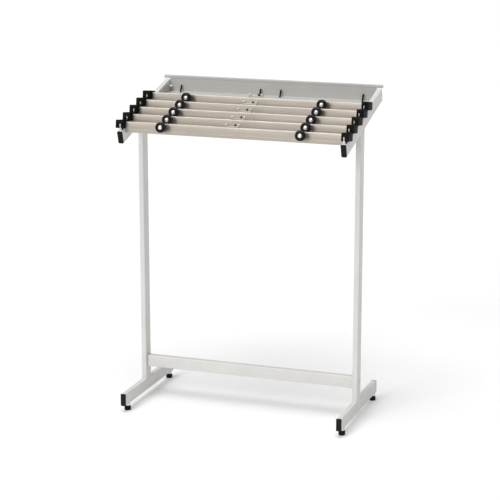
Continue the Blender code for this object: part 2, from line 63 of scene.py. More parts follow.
# Stand
TUBE_WIDE = 13.5 * MM
TUBE_DEEP = 32 * MM
TUBE_WALL = 1.2 * MM
TUBE_CORNER = 2 * MM
RACK_SIDE = 295 * MM
ARM_X = RACK_SIDE - TUBE_WIDE / 2
POST_Y = (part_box("crossbar")[0].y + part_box("crossbar")[1].y) / 2
ARM_SLOPE = math.radians(15.95)
ARM_LENGTH = 333 * MM
ARM_FRONT = POST_Y - 148.7 * MM
ARM_HEIGHT = 730 * MM
PLUG_HEAD = 3 * MM
GAP = 0.3 * MM
WELD = 0.9 * MM
END_PLATE_CORNER = 1.4 * MM
PIN_RADIUS = 3 * MM
PIN_STAND = 17.8 * MM
PIN_ROUNDING = 1.1 * MM
SCREW_LENGTH = 22 * MM
SCREW_PROUD = 0.02 * MM
BAR_SCREW_RISE = 15.25 * MM
STUD_FOOT = 9.7 * MM
STUD_INSIDE = 14 * MM
NUT_ACROSS = 13 * MM
NUT_HEIGHT = 5.5 * MM
NUT_BORE = 4.05 * MM

# Holder, in its own frame
LEAN = math.radians(8)
RAIL_END = 280.5 * MM
RAIL_TOP = 4.6 * MM
RAIL_BOTTOM = -22.1 * MM
RAIL_GROOVE = -14 * MM
RAIL_WALL = 1.3 * MM
FRONT_RAIL = (16.5 * MM, 21.4 * MM)
REAR_RAIL = (26.9 * MM, 31.4 * MM)
KNOB_X = 180 * MM
KNOB_SEAT = 16.2 * MM
KNOB_HEIGHT = -4.4 * MM
STUD_RADIUS = 2.9 * MM
STRIP = (17.3 * MM, 20.6 * MM)
STRIP_LENGTH = 38 * MM
STRIP_TOP = 9 * MM
BUTTON_X = 16 * MM
STOP_X = 7 * MM
CAP_INNER = 280.8 * MM
CAP_FRONT_INNER = 282.2 * MM
CAP_OUTER = 300 * MM
CAP_FRONT = -3.8 * MM
CAP_BACK = 36.7 * MM
CAP_BOTTOM = -12 * MM
CAP_TOP = 8.8 * MM

# Tray
SHEET = 1.2 * MM
SHELF_HEIGHT = 789 * MM
TRAY_FRONT = POST_Y + 84 * MM
TRAY_BACK = POST_Y + 172 * MM
TRAY_TOP = 831.6 * MM
RIM_DEPTH = 5.4 * MM
RIM_HEIGHT = 9 * MM
LIP_RISE = 8 * MM
FLANGE_DROP = 5 * MM
BOLT = (POST_Y + 164 * MM, 803 * MM)
PEG_Y = POST_Y + 160 * MM
PEG_RADIUS = 2.2 * MM
PEG_CROWN = 0.9
PEG_LEAN = math.radians(28)


# ---------------------------------------------------------------- finishes

# The part of a noise texture's range that colours and roughness are spread over
NOISE_SPAN = (0.3, 0.7)


class Finish:
    """A Principled material whose detail is built up node by node, in object coordinates."""

    def __init__(self, name, colour, roughness, metallic=0.0):
        self.material = bpy.data.materials.new(name)
        self.material.use_nodes = True
        self.tree = self.material.node_tree
        self.shader = self.tree.nodes["Principled BSDF"]
        self.shader.inputs["Base Color"].default_value = (*colour, 1)
        self.shader.inputs["Metallic"].default_value = metallic
        self.shader.inputs["Roughness"].default_value = roughness
        self.place = self.node("ShaderNodeTexCoord").outputs["Object"]

    def node(self, kind):
        return self.tree.nodes.new(kind)

    def link(self, source, target):
        self.tree.links.new(source, target)

    def stretched(self, scale):
        """Object coordinates scaled along each axis."""
        mapping = self.node("ShaderNodeMapping")
        mapping.inputs["Scale"].default_value = scale
        self.link(self.place, mapping.inputs["Vector"])
        return mapping.outputs["Vector"]

    def noise(self, scale, detail, where=None):
        made = self.node("ShaderNodeTexNoise")
        made.inputs["Scale"].default_value = scale
        made.inputs["Detail"].default_value = detail
        self.link(where or self.place, made.inputs["Vector"])
        return made.outputs["Fac"]

    def tint(self, value, dark, light):
        """Colour of the surface, from dark to light as the noise rises."""
        ramp = self.node("ShaderNodeValToRGB")
        ends = zip(ramp.color_ramp.elements, NOISE_SPAN, (dark, light))
        for element, position, colour in ends:
            element.position = position
            element.color = (*colour, 1)
        self.link(value, ramp.inputs["Fac"])
        self.link(ramp.outputs["Color"], self.shader.inputs["Base Color"])

    def roughness(self, value, low, high):
        """Roughness of the surface, from low to high as the noise rises."""
        made = self.node("ShaderNodeMapRange")
        names = ("From Min", "From Max", "To Min", "To Max")
        for name, number in zip(names, (*NOISE_SPAN, low, high)):
            made.inputs[name].default_value = number
        self.link(value, made.inputs["Value"])
        self.link(made.outputs["Result"], self.shader.inputs["Roughness"])

    def relief(self, value, depth):
        """Adds relief of a depth in metres on top of what is there."""
        bump = self.node("ShaderNodeBump")
        bump.inputs["Distance"].default_value = depth
        bump.inputs["Strength"].default_value = 1
        self.link(value, bump.inputs["Height"])
        socket = self.shader.inputs["Normal"]
        if socket.is_linked:
            self.link(socket.links[0].from_socket, bump.inputs["Normal"])
        self.link(bump.outputs["Normal"], socket)


def powder_coat(name, dark, light):
    """Satin powder coat: fine orange peel, slight clouding of tone, duller patches."""
    finish = Finish(name, light, roughness=0.4)
    finish.tint(finish.noise(14, 4), dark, light)
    finish.roughness(finish.noise(60, 5), 0.33, 0.5)
    finish.relief(finish.noise(1400, 2), 0.00009)
    finish.relief(finish.noise(260, 2), 0.00012)
    finish.shader.inputs["Coat Weight"].default_value = 0.12
    finish.shader.inputs["Coat Roughness"].default_value = 0.3
    return finish.material


def anodised(name, dark, light):
    """Satin anodised extrusion: fine drawing lines along X and faint streaks of tone."""
    finish = Finish(name, light, metallic=0.9, roughness=0.36)
    lines = finish.noise(1, 4, finish.stretched((14, 2600, 2600)))
    streaks = finish.noise(1, 3, finish.stretched((3, 260, 260)))
    finish.tint(streaks, dark, light)
    finish.roughness(lines, 0.3, 0.42)
    finish.relief(lines, 0.00004)
    finish.relief(finish.noise(2400, 2), 0.00002)
    return finish.material


def plated(name, dark, light, low, high, metallic=1.0):
    """Plating with cloudy roughness."""
    finish = Finish(name, light, metallic=metallic, roughness=low)
    finish.tint(finish.noise(220, 4), dark, light)
    finish.roughness(finish.noise(420, 4), low, high)
    finish.relief(finish.noise(1800, 2), 0.00002)
    return finish.material


def moulded(name, dark, light, spread, grain, gloss):
    """Moulded plastic with a fine spark-eroded grain."""
    finish = Finish(name, light, roughness=spread[0])
    finish.shader.inputs["Specular IOR Level"].default_value = gloss
    finish.tint(finish.noise(40, 3), dark, light)
    finish.roughness(finish.noise(160, 4), *spread)
    finish.relief(finish.noise(2200, 3), grain)
    return finish.material


FINISHES = {
    "frame_paint": powder_coat("frame_paint_look", (0.6, 0.59, 0.57), (0.64, 0.63, 0.61)),
    # The tray's paint is the frame's, set darker: painted shade for the shade its back face sits in.
    "tray_paint": powder_coat("tray_paint_shaded_look", (0.42, 0.415, 0.395), (0.46, 0.455, 0.435)),
    "rail_aluminium": anodised("rail_aluminium_look", (0.44, 0.395, 0.345), (0.52, 0.475, 0.42)),
    "plated_steel": plated("plated_steel_look", (0.66, 0.66, 0.65), (0.78, 0.78, 0.77), 0.16, 0.34),
    "cap_plastic": moulded("cap_plastic_look", (0.008, 0.008, 0.008), (0.013, 0.013, 0.012),
                           (0.36, 0.5), 6e-5, 0.015),
    "knob_plastic": moulded("knob_plastic_look", (0.007, 0.007, 0.007), (0.011, 0.011, 0.011),
                            (0.24, 0.36), 2e-5, 0.12),
    "plug_plastic": moulded("plug_plastic_look", (0.012, 0.012, 0.013), (0.019, 0.019, 0.02),
                            (0.42, 0.56), 8e-5, 0.03),
}
DOME_NICKEL = plated("knob_centre_look", (0.84, 0.84, 0.84), (0.92, 0.92, 0.91), 0.22, 0.34, 0.8)
# The tag strip is the rail's aluminium, but its finish is set darker: painted shade that dulls the
# light on its top.
STRIP_SHADED_ALUMINIUM = anodised("tag_strip_look", (0.3, 0.27, 0.235), (0.36, 0.325, 0.285))
BUTTON_NICKEL = plated("button_look", (0.52, 0.495, 0.46), (0.6, 0.575, 0.54), 0.36, 0.5, 0.6)


# ---------------------------------------------------------------- shaping


def in_mm(points):
    """Points written in millimetres, in metres."""
    return [tuple(value * MM for value in point) for point in points]


def chain(rings, loop=False):
    """A closed body through rings of equal count: a ring of rings, or a chain with flat ends."""
    made = bmesh.new()
    rows = [[made.verts.new(point) for point in ring] for ring in rings]
    for low, high in zip(rows, rows[1:] + rows[:1] if loop else rows[1:]):
        for i in range(len(low)):
            j = (i + 1) % len(low)
            made.faces.new((low[i], low[j], high[j], high[i]))
    if not loop:
        made.faces.new(reversed(rows[0]))
        made.faces.new(rows[-1])
    return made


def disc(radius, height, count):
    turns = (2 * math.pi * i / count for i in range(count))
    return [(radius * math.cos(turn), radius * math.sin(turn), height) for turn in turns]


def turned(profile, count):
    """A body turned about local Z from (radius, height) points."""
    return chain([disc(radius, height, count) for radius, height in profile])


def arc(centre, radius, start, end, steps):
    """Points of an arc, its angles in degrees."""
    points = []
    for step in range(steps + 1):
        turn = math.radians(start + (end - start) * step / steps)
        points.append((centre[0] + radius * math.cos(turn), centre[1] + radius * math.sin(turn)))
    return points


def filleted(points, radii, steps):
    """An outline with each corner rounded to its own radius; 0 leaves it sharp."""
    outline = []
    count = len(points)
    for i, radius in enumerate(radii):
        corner = Vector(points[i])
        if not radius:
            outline.append(tuple(corner))
            continue
        before = (Vector(points[i - 1]) - corner).normalized()
        after = (Vector(points[(i + 1) % count]) - corner).normalized()
        half = before.angle(after) / 2
        reach = radius / math.tan(half)
        centre = corner + (before + after).normalized() * radius / math.sin(half)
        start = corner + before * reach - centre
        end = corner + after * reach - centre
        for step in range(steps + 1):
            direction = start.lerp(end, step / steps).normalized()
            outline.append(tuple(centre + direction * radius))
    return outline


def rectangle(wide, deep, corner, steps=6):
    """Rounded rectangle about the origin."""
    x, y = wide / 2, deep / 2
    return filleted(((x, y), (-x, y), (-x, -y), (x, -y)), (corner,) * 4, steps)


def prism(outline, low, high, edge=0.0):
    """Extrudes an outline of (y, z) points along X; edge draws its end faces in a little."""
    if not edge:
        return chain([[(x, y, z) for y, z in outline] for x in (low, high)])
    middle = Vector((sum(p[0] for p in outline), sum(p[1] for p in outline))) / len(outline)
    rings = []
    for x, inset in ((low, edge), (low + edge, 0), (high - edge, 0), (high, edge)):
        ring = []
        for point in outline:
            inward = (middle - Vector(point)).normalized() * inset
            ring.append((x, point[0] + inward[0], point[1] + inward[1]))
        rings.append(ring)
    return chain(rings)


def rounded_block(low, high, radius):
    made = bmesh.new()
    bmesh.ops.create_cube(made, size=1)
    size = Vector(high) - Vector(low)
    middle = (Vector(high) + Vector(low)) / 2
    moved(made, Matrix.Translation(middle) @ Matrix.Diagonal((*size, 1)))
    bmesh.ops.bevel(made, geom=made.edges[:], offset=radius, segments=5, profile=0.5,
                    affect="EDGES")
    return made


def block(low, high):
    outline = ((low[1], low[2]), (high[1], low[2]), (high[1], high[2]), (low[1], high[2]))
    return prism(outline, low[0], high[0])


def plate(wide, deep, low, high):
    """A flat plate that closes a tube, across local Z."""
    outline = rectangle(wide - TUBE_WALL, deep - TUBE_WALL, END_PLATE_CORNER)
    return chain([[(x, y, z) for x, y in outline] for z in (low, high)])


def tube(length, wide, deep, wall, slope=0.0):
    """A rounded rectangular tube up local Z, its end edges softened and its far end on a slope."""
    edge = 0.25 * MM
    outer = rectangle(wide, deep, TUBE_CORNER)
    eased = rectangle(wide - 2 * edge, deep - 2 * edge, TUBE_CORNER - edge)
    inner = rectangle(wide - 2 * wall, deep - 2 * wall, TUBE_CORNER - wall)
    rings = [
        [(x, y, 0) for x, y in eased],
        [(x, y, edge) for x, y in outer],
        [(x, y, length - edge + y * slope) for x, y in outer],
        [(x, y, length + y * slope) for x, y in eased],
        [(x, y, length + y * slope) for x, y in inner],
        [(x, y, 0) for x, y in inner],
    ]
    return chain(rings, loop=True)


def threaded(minor, major, pitch, low, high, around=24):
    """A threaded rod up local Z: a helical ridge that fades out at both ends."""
    steps = int((high - low) / pitch * 6)
    rings = []
    for step in range(steps + 1):
        height = low + (high - low) * step / steps
        fade = min(1, (height - low) / pitch, (high - height) / pitch)
        ring = []
        for i in range(around):
            turn = 2 * math.pi * i / around
            phase = (height / pitch - i / around) % 1
            radius = minor + (major - minor) * fade * (1 - abs(2 * phase - 1))
            ring.append((radius * math.cos(turn), radius * math.sin(turn), height))
        rings.append(ring)
    return chain(rings)


def moved(shape, matrix):
    bmesh.ops.transform(shape, matrix=matrix, verts=shape.verts)
    return shape


def as_object(shape, name):
    bmesh.ops.recalc_face_normals(shape, faces=shape.faces)
    mesh = bpy.data.meshes.new(name)
    shape.to_mesh(mesh)
    shape.free()
    made = bpy.data.objects.new(name, mesh)
    bpy.context.scene.collection.objects.link(made)
    return made


def combined(shape, tools):
    """A shape after each (operation, tool) Boolean in turn."""
    target = as_object(shape, "target")
    cutters = []
    for operation, tool in tools:
        cutter = as_object(tool, "tool")
        modifier = target.modifiers.new("combine", "BOOLEAN")
        modifier.operation = operation
        modifier.solver = "EXACT"
        modifier.object = cutter
        cutters.append(cutter)
    bpy.context.view_layer.update()
    evaluated = target.evaluated_get(bpy.context.evaluated_depsgraph_get())
    result = bmesh.new()
    result.from_mesh(evaluated.data)
    for item in (target, *cutters):
        mesh = item.data
        bpy.data.objects.remove(item)
        bpy.data.meshes.remove(mesh)
    return result


def piece(name, shape, body, slot, matrix=None, replaces=(), material=None):
    """Makes a shown piece from a shape, smooth but for its sharp edges, and ties it to its body."""
    if matrix:
        moved(shape, matrix)
    made = as_object(shape, name)
    made.data.shade_smooth()
    made.data.set_sharp_from_angle(angle=SHARP_EDGE)
    made.data.materials.append(material or FINISHES[slot])
    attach(made, body)
    if replaces:
        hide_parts(*replaces)
    return made


# ---------------------------------------------------------------- stand


def along_y(direction):
    """Turns local Z to +Y or -Y."""
    return Matrix.Rotation(-direction * math.pi / 2, 4, "X")


def across_x(direction):
    """Turns local Z to +X or -X."""
    return Matrix.Rotation(direction * math.pi / 2, 4, "Y")


def arm_matrix(sign, along=0.0):
    """Local Z runs up the arm from its front end, local Y down through it."""
    corner = Vector((sign * ARM_X, ARM_FRONT, ARM_HEIGHT))
    run = Vector((0, math.cos(ARM_SLOPE), math.sin(ARM_SLOPE)))
    down = Vector((0, math.sin(ARM_SLOPE), -math.cos(ARM_SLOPE)))
    place = Matrix.Translation(corner + run * along + down * TUBE_DEEP / 2)
    return place @ Matrix.Rotation(ARM_SLOPE - math.pi / 2, 4, "X")


def arm_top(y):
    """Height of an arm's top face at a place along Y."""
    return ARM_HEIGHT + (y - ARM_FRONT) * math.tan(ARM_SLOPE)


def plug():
    """End plug: a crowned head with rounded edges and a short spigot, head end at local Z 0."""
    head, end, slack = 2.9 * MM, 9 * MM, 3 * MM
    rings = []
    for inset, height in (*in_mm(((1, 0), (0.4, 0.12), (0.12, 0.4), (0, 0.8))), (0, head)):
        outline = rectangle(TUBE_WIDE - 2 * inset, TUBE_DEEP - 2 * inset,
                            TUBE_CORNER - 0.6 * inset)
        rings.append([(x, y, height) for x, y in outline])
    spigot = rectangle(TUBE_WIDE - slack, TUBE_DEEP - slack, 0.5 * MM)
    rings += [[(x, y, height) for x, y in spigot] for height in (head, end)]
    return chain(rings)


def weld_ring(base, slope, lower):
    """A small weld bead round a post's end, on the foot below it or under the arm above it."""
    outline = rectangle(TUBE_WIDE - 0.6 * MM, TUBE_DEEP - 0.2 * MM, TUBE_CORNER)
    squeeze = 0.6  # the bead stands out less on the tube's wide sides
    rings = []
    for x, y in outline:
        outward = Vector((x / TUBE_WIDE, y / TUBE_DEEP * squeeze)).normalized()
        ring = []
        for px, pz in arc((0, 0), WELD, 0, 300, 5):
            level = base + y * slope + (pz if lower else -pz)
            ring.append((x + outward[0] * px * squeeze, y + outward[1] * px, level))
        rings.append(ring)
    return chain(rings, loop=True)


def screw(length):
    """Pan-head screw with a cross recess; its head stands on local Z 0, its shank runs down."""
    shank, chamfer = 2.4 * MM, 0.4 * MM
    head = ((4.5, 0), (4.6, 0.25), (4.55, 0.9), (4.1, 1.55), (3.2, 1.95), (1.8, 2.15))
    profile = [(2.2 * MM, -length), (shank, -length + chamfer), (shank, 0), *in_mm(head)]
    recess = in_mm(((-2.3, -0.5, 0.9), (2.3, 0.5, 4)))
    blades = []
    for turn in (0, math.pi / 2):
        blade = block(*recess)
        blades.append(("DIFFERENCE", moved(blade, Matrix.Rotation(turn, 4, "Z"))))
    return combined(turned(profile, 32), blades)


def hex_nut(across, height, bore):
    """Hexagon nut with chamfered corners, bored through, standing on local Z 0."""
    corner = across / math.sqrt(3)
    chamfer = 0.06 * across
    sides = []
    for i in range(6):
        for step in range(4):
            turn = math.radians(60 * i - 30 + 15 * step)
            off_flat = (turn + math.pi / 6) % (math.pi / 3) - math.pi / 6
            reach = across / 2 / math.cos(off_flat)
            sides.append((math.cos(turn), math.sin(turn), reach))
    face = min(corner, across / 2 + 0.1 * MM)
    rings = []
    levels = ((0, face), (chamfer, corner), (height - chamfer, corner), (height, face))
    for level, most in levels:
        rings.append([(c * min(reach, most), s * min(reach, most), level)
                      for c, s, reach in sides])
    for level in (height, 0):
        rings.append([(c * bore, s * bore, level) for c, s, _ in sides])
    return chain(rings, loop=True)


def glide_base():
    """Moulded foot: a tall puck with rounded rims and a low boss under its stud."""
    points = ((6.5, 0), (7.4, 0.2), (8, 0.8), (8.3, 1.9), (8.3, 9.2), (8.1, 9.9), (7.5, 10.4),
              (6.6, 10.6), (5.4, 11))
    return turned(in_mm(points), 40)


def build_side(side, sign):
    """Foot with its plugs, post, arm, screws and glides of one side frame."""
    foot_low, foot_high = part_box(side + "_foot")
    plug_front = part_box(side + "_foot_front_plug")[0].y
    plug_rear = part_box(side + "_foot_rear_plug")[1].y
    middle = (foot_low.z + foot_high.z) / 2
    foot = tube(foot_high.y - foot_low.y, TUBE_WIDE, TUBE_DEEP, TUBE_WALL)
    matrix = Matrix.Translation((sign * ARM_X, foot_low.y, middle)) @ along_y(1)
    piece(side + "_foot_tube", foot, "frame", "frame_paint", matrix, (side + "_foot",))
    for end, y, direction in (("front", plug_front, 1), ("rear", plug_rear, -1)):
        node = "%s_foot_%s_plug" % (side, end)
        matrix = Matrix.Translation((sign * ARM_X, y, middle)) @ along_y(direction)
        piece(node + "_moulding", plug(), "frame", "plug_plastic", matrix, (node,))

    bottom = foot_high.z + GAP
    top = arm_top(POST_Y) - TUBE_DEEP / math.cos(ARM_SLOPE) - GAP
    slope = math.tan(ARM_SLOPE)
    post = tube(top - bottom, TUBE_WIDE, TUBE_DEEP, TUBE_WALL, slope)
    matrix = Matrix.Translation((sign * ARM_X, POST_Y, bottom))
    piece(side + "_post_tube", post, "frame", "frame_paint", matrix, (side + "_post",))
    matrix = Matrix.Translation((sign * ARM_X, POST_Y, 0))
    piece(side + "_foot_weld", weld_ring(bottom, 0, True), "frame", "frame_paint", matrix)
    piece(side + "_arm_weld", weld_ring(top, slope, False), "frame", "frame_paint", matrix)

    build_arm(side, sign)
    bar_screw_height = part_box("crossbar")[0].z + BAR_SCREW_RISE
    for y, z, place in ((POST_Y, bar_screw_height, "bar_screw"), (*BOLT, "tray_bolt")):
        node = "%s_%s" % (side, place)
        matrix = Matrix.Translation((sign * (RACK_SIDE + SCREW_PROUD), y, z)) @ across_x(sign)
        piece(node + "_shaped", screw(SCREW_LENGTH), "frame", "plated_steel", matrix, (node,))
    for end in ("front", "rear"):
        build_glide("%s_%s_glide" % (side, end), foot_low.z)


def build_arm(side, sign):
    """Arm tube, its front plug, a plate across its rear end, and the pins the holders hang on."""
    start = PLUG_HEAD + GAP
    length = ARM_LENGTH - start
    end = plate(TUBE_WIDE, TUBE_DEEP, length - 2 * TUBE_WALL, length - 0.5 * TUBE_WALL)
    shape = combined(tube(length, TUBE_WIDE, TUBE_DEEP, TUBE_WALL), [("UNION", end)])
    node = side + "_arm"
    piece(node + "_tube", shape, "frame", "frame_paint", arm_matrix(sign, start), (node,))
    piece(node + "_plug_moulding", plug(), "frame", "plug_plastic", arm_matrix(sign),
          (node + "_plug",))
    shoulder = PIN_STAND - PIN_ROUNDING
    rounding = arc((PIN_RADIUS - PIN_ROUNDING, shoulder), PIN_ROUNDING, 15, 90, 4)
    profile = [(PIN_RADIUS, -0.8 * MM), (PIN_RADIUS, shoulder), *rounding]
    collar = in_mm(((3, -1.1), (4.2, -0.9), (4.3, -0.2), (3.6, 0.75), (3.02, 1.1)))
    for number in HOLDERS:
        origin = holder_origin(number)
        base = origin.z - GAP - PIN_STAND
        matrix = Matrix.Translation((sign * ARM_X, origin.y, base))
        piece("%s_pin_%d" % (side, number), turned(profile, 28), "frame", "plated_steel", matrix)
        shape = turned(collar, 28)
        for vertex in shape.verts:
            vertex.co.z += vertex.co.y * math.tan(ARM_SLOPE)
        piece("%s_pin_weld_%d" % (side, number), shape, "frame", "frame_paint", matrix)


def build_glide(node, foot_under):
    """The base and its stud turn together; the lock nut stays with the foot."""
    low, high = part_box(node)
    matrix = Matrix.Translation(((low.x + high.x) / 2, (low.y + high.y) / 2, 0))
    piece(node + "_base", glide_base(), node, "plug_plastic", matrix, (node,))
    minor, major, pitch, clearance = 3.35 * MM, 3.88 * MM, 1.25 * MM, 0.1 * MM
    stud = threaded(minor, major, pitch, STUD_FOOT, foot_under + STUD_INSIDE, 28)
    piece(node + "_stud", stud, node, "plated_steel", matrix)
    nut = hex_nut(NUT_ACROSS, NUT_HEIGHT, NUT_BORE)
    lift = Matrix.Translation((0, 0, foot_under - NUT_HEIGHT - clearance))
    piece(node + "_lock_nut", nut, "frame", "plated_steel", matrix @ lift)


def build_crossbar():
    """Flat tube with a plate across each end, which the screws go into."""
    low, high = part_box("crossbar")
    size = (high.z - low.z, high.y - low.y)
    length = high.x - low.x
    inset, thick = 0.3 * MM, 2.4 * MM
    ends = [("UNION", plate(*size, start, start + thick))
            for start in (inset, length - inset - thick)]
    shape = combined(tube(length, *size, TUBE_WALL), ends)
    matrix = Matrix.Translation((low.x, POST_Y, (low.z + high.z) / 2)) @ across_x(1)
    piece("crossbar_tube", shape, "frame", "frame_paint", matrix, ("crossbar",))


# ---------------------------------------------------------------- tray


def build_tray():
    """Folded sheet with round bends, a rounded rim along the back, end flanges, clinch nuts."""
    half = RACK_SIDE - TUBE_WIDE - GAP
    under = SHELF_HEIGHT - SHEET
    lip = SHELF_HEIGHT + LIP_RISE
    middle = TRAY_TOP - RIM_HEIGHT / 2
    points = (
        (TRAY_FRONT, under), (TRAY_BACK + SHEET, under),
        (TRAY_BACK + SHEET, middle), (TRAY_BACK, middle),
        (TRAY_BACK, SHELF_HEIGHT), (TRAY_FRONT + SHEET, SHELF_HEIGHT),
        (TRAY_FRONT + SHEET, lip), (TRAY_FRONT, lip),
    )
    outer, inner, tip = 2.4 * MM, 1.2 * MM, 0.55 * MM
    sheet = prism(filleted(points, (outer, outer, 0, 0, inner, inner, tip, tip), 5), -half, half)
    rim_half = (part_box("magazine_tray")[1].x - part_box("magazine_tray")[0].x) / 2
    y = TRAY_BACK + 0.4 * RIM_DEPTH
    outline = [(y + u, middle + v) for u, v in rectangle(RIM_DEPTH, RIM_HEIGHT, 2.3 * MM)]
    tools = [("UNION", prism(outline, -rim_half, rim_half, 0.5 * MM))]
    for _, sign in SIDES:
        front, back = TRAY_FRONT + 2 * SHEET, TRAY_BACK + SHEET / 2
        bottom = under + SHEET / 2
        corners = ((front, bottom), (back, bottom), (back, arm_top(back) - FLANGE_DROP),
                   (front, arm_top(front) - FLANGE_DROP))
        flange = filleted(corners, (0, 0, 0, 4 * MM), 6)
        tools.append(("UNION", prism(flange, *sorted((sign * (half - SHEET), sign * half)))))
        nut = moved(turned(in_mm(((5, 0), (5, 4), (4.4, 4.5))), 32), across_x(-sign))
        tools.append(("UNION", moved(nut, Matrix.Translation((sign * (half - SHEET / 2), *BOLT)))))
    piece("magazine_tray_sheet", combined(sheet, tools), "frame", "tray_paint",
          replaces=("magazine_tray",))


def build_pegs():
    """Dipped wire pegs with round tops, leaning back over the shelf."""
    for side, _ in SIDES:
        for place in ("inner", "outer"):
            node = "%s_%s_peg" % (side, place)
            low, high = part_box(node)
            foot = Matrix.Translation(((low.x + high.x) / 2, PEG_Y, SHELF_HEIGHT))
            crown = PEG_RADIUS * PEG_CROWN
            shoulder = high.z - SHELF_HEIGHT - crown
            profile = in_mm(((3.6, -3), (3.6, -1.6), (2.2, -1.5), (2.2, 0.1), (3, 0.15),
                             (2.9, 0.7), (2.2, 1.1)))
            for turn in (math.radians(angle) for angle in range(0, 80, 13)):
                profile.append((PEG_RADIUS * math.cos(turn), shoulder + crown * math.sin(turn)))
            shape = turned(profile, 24)
            for vertex in shape.verts:
                vertex.co.y += max(0, vertex.co.z - 1 * MM) * math.tan(PEG_LEAN)
            piece(node + "_dipped", shape, "frame", "cap_plastic", foot, (node,))


# ---------------------------------------------------------------- holders


def holder_origin(number):
    """Above the top of the holder's pins, worked back from the left knob's axis."""
    seat = Vector(JOINTS["left_knob_%d_turn" % number]["pos_m"])
    offset = Matrix.Rotation(-LEAN, 3, "X") @ Vector((0, KNOB_SEAT, KNOB_HEIGHT))
    return Vector((0, seat.y - offset.y, seat.z - offset.z))


def holder_matrix(number):
    return Matrix.Translation(holder_origin(number)) @ Matrix.Rotation(-LEAN, 4, "X")


def rail_section(front, back, stepped_front):
    """Extruded section with two bands and a groove between them on its outer face."""
    thick, notch = back - front, 0.6 * MM
    points = (
        (0, RAIL_TOP), (0, RAIL_GROOVE + notch), (0.7 * MM, RAIL_GROOVE),
        (0.28 * MM, RAIL_GROOVE - notch), (1.12 * MM, RAIL_BOTTOM), (thick, RAIL_BOTTOM),
        (thick, RAIL_TOP),
    )
    radii = (0.9 * MM, 0.25 * MM, 0, 0.3 * MM, 0.8 * MM, 0.6 * MM, 0.9 * MM)
    outline = filleted(points, radii, 5)
    if stepped_front:
        return [(front + y, z) for y, z in outline]
    return [(back - y, z) for y, z in outline]


def rail(span, stepped_front):
    """An open-ended extrusion of even wall, as long as the holder is between its caps."""
    outline = rail_section(*span, stepped_front)
    middle = (sum(span) / 2, (RAIL_TOP + RAIL_BOTTOM) / 2)
    half = ((span[1] - span[0]) / 2, (RAIL_TOP - RAIL_BOTTOM) / 2)
    shrink = [(extent - RAIL_WALL) / extent for extent in half]
    hollow = [tuple(m + (v - m) * s for v, m, s in zip(p, middle, shrink)) for p in outline]
    rings = [[(x, y, z) for y, z in outline] for x in (-RAIL_END, RAIL_END)]
    rings += [[(x, y, z) for y, z in hollow] for x in (RAIL_END, -RAIL_END)]
    return chain(rings, loop=True)


def knob():
    """Turned head with a softened grip rim, and behind it a bored collar with a narrow waist."""
    points = [(3.2, 19.7), (3.2, 0)]
    points += [(7.4, 0), (8, 0.35), (7.8, 1.6), (7, 5), (6.7, 8), (6.8, 9.6), (7.8, 11)]
    points += [(10, 12.4), (11.9, 13.4), *arc((12, 14.4), 1, -60, 0, 4)]
    points += [(13, 17.6), (12.75, 17.9), (12.75, 18.3), (13, 18.6)]
    points += [*arc((11.4, 20.2), 1.6, 0, 80, 6), (8.8, 22.3), (5.9, 22.45), (5.2, 22.1)]
    points += [(0.4, 22.1)]
    return turned(in_mm(points), 56)


def knob_centre():
    """Bright domed cap pressed into the knob's face."""
    base, rise, foot, steps = 5 * MM, 2.5 * MM, 22.55 * MM, 9
    radius = (base ** 2 + rise ** 2) / (2 * rise)
    widest = math.asin(base / radius)
    points = in_mm(((4.8, 21.9), (5, 22.2)))
    for step in range(steps):
        turn = widest * (1 - step / steps)
        points.append((radius * math.sin(turn), foot + rise - radius + radius * math.cos(turn)))
    return turned(points, 48)


def tag_strip():
    """Low strip along the rail's top that the buttons stand in, its upper edges rounded."""
    half, foot = STRIP_LENGTH / 2, RAIL_TOP - 0.4 * MM
    corners = ((STRIP[0], foot), (STRIP[1], foot), (STRIP[1], STRIP_TOP), (STRIP[0], STRIP_TOP))
    return prism(filleted(corners, (0, 0, 0.7 * MM, 0.7 * MM), 4), -half, half, 0.5 * MM)


def button():
    """Mushroom-headed button: a thin neck and a flat dome, up local Z."""
    points = ((1.4, 8.4), (1.4, 10.2), (2.2, 10.5), (4.5, 10.7), (5.1, 11.1), (5.3, 11.8),
              (5.15, 12.5), (4.6, 13.3), (3.7, 14), (2.6, 14.5), (1.4, 14.75), (0.4, 14.8))
    return turned(in_mm(points), 36)


def stop():
    """Small round stop beside the right button, up local Z."""
    points = ((1.4, 8.4), (1.4, 9.2), (2, 9.4), (2.3, 9.8), (2.3, 12.6), (2.05, 13.3),
              (1.4, 13.7), (0.4, 13.8))
    return turned(in_mm(points), 28)


def under_arm(y):
    """The arm's top face in a holder's frame, as height at a distance back."""
    drop = PIN_STAND + GAP
    slope = math.tan(ARM_SLOPE + LEAN)
    return -drop * math.cos(LEAN) + (y - drop * math.sin(LEAN)) * slope


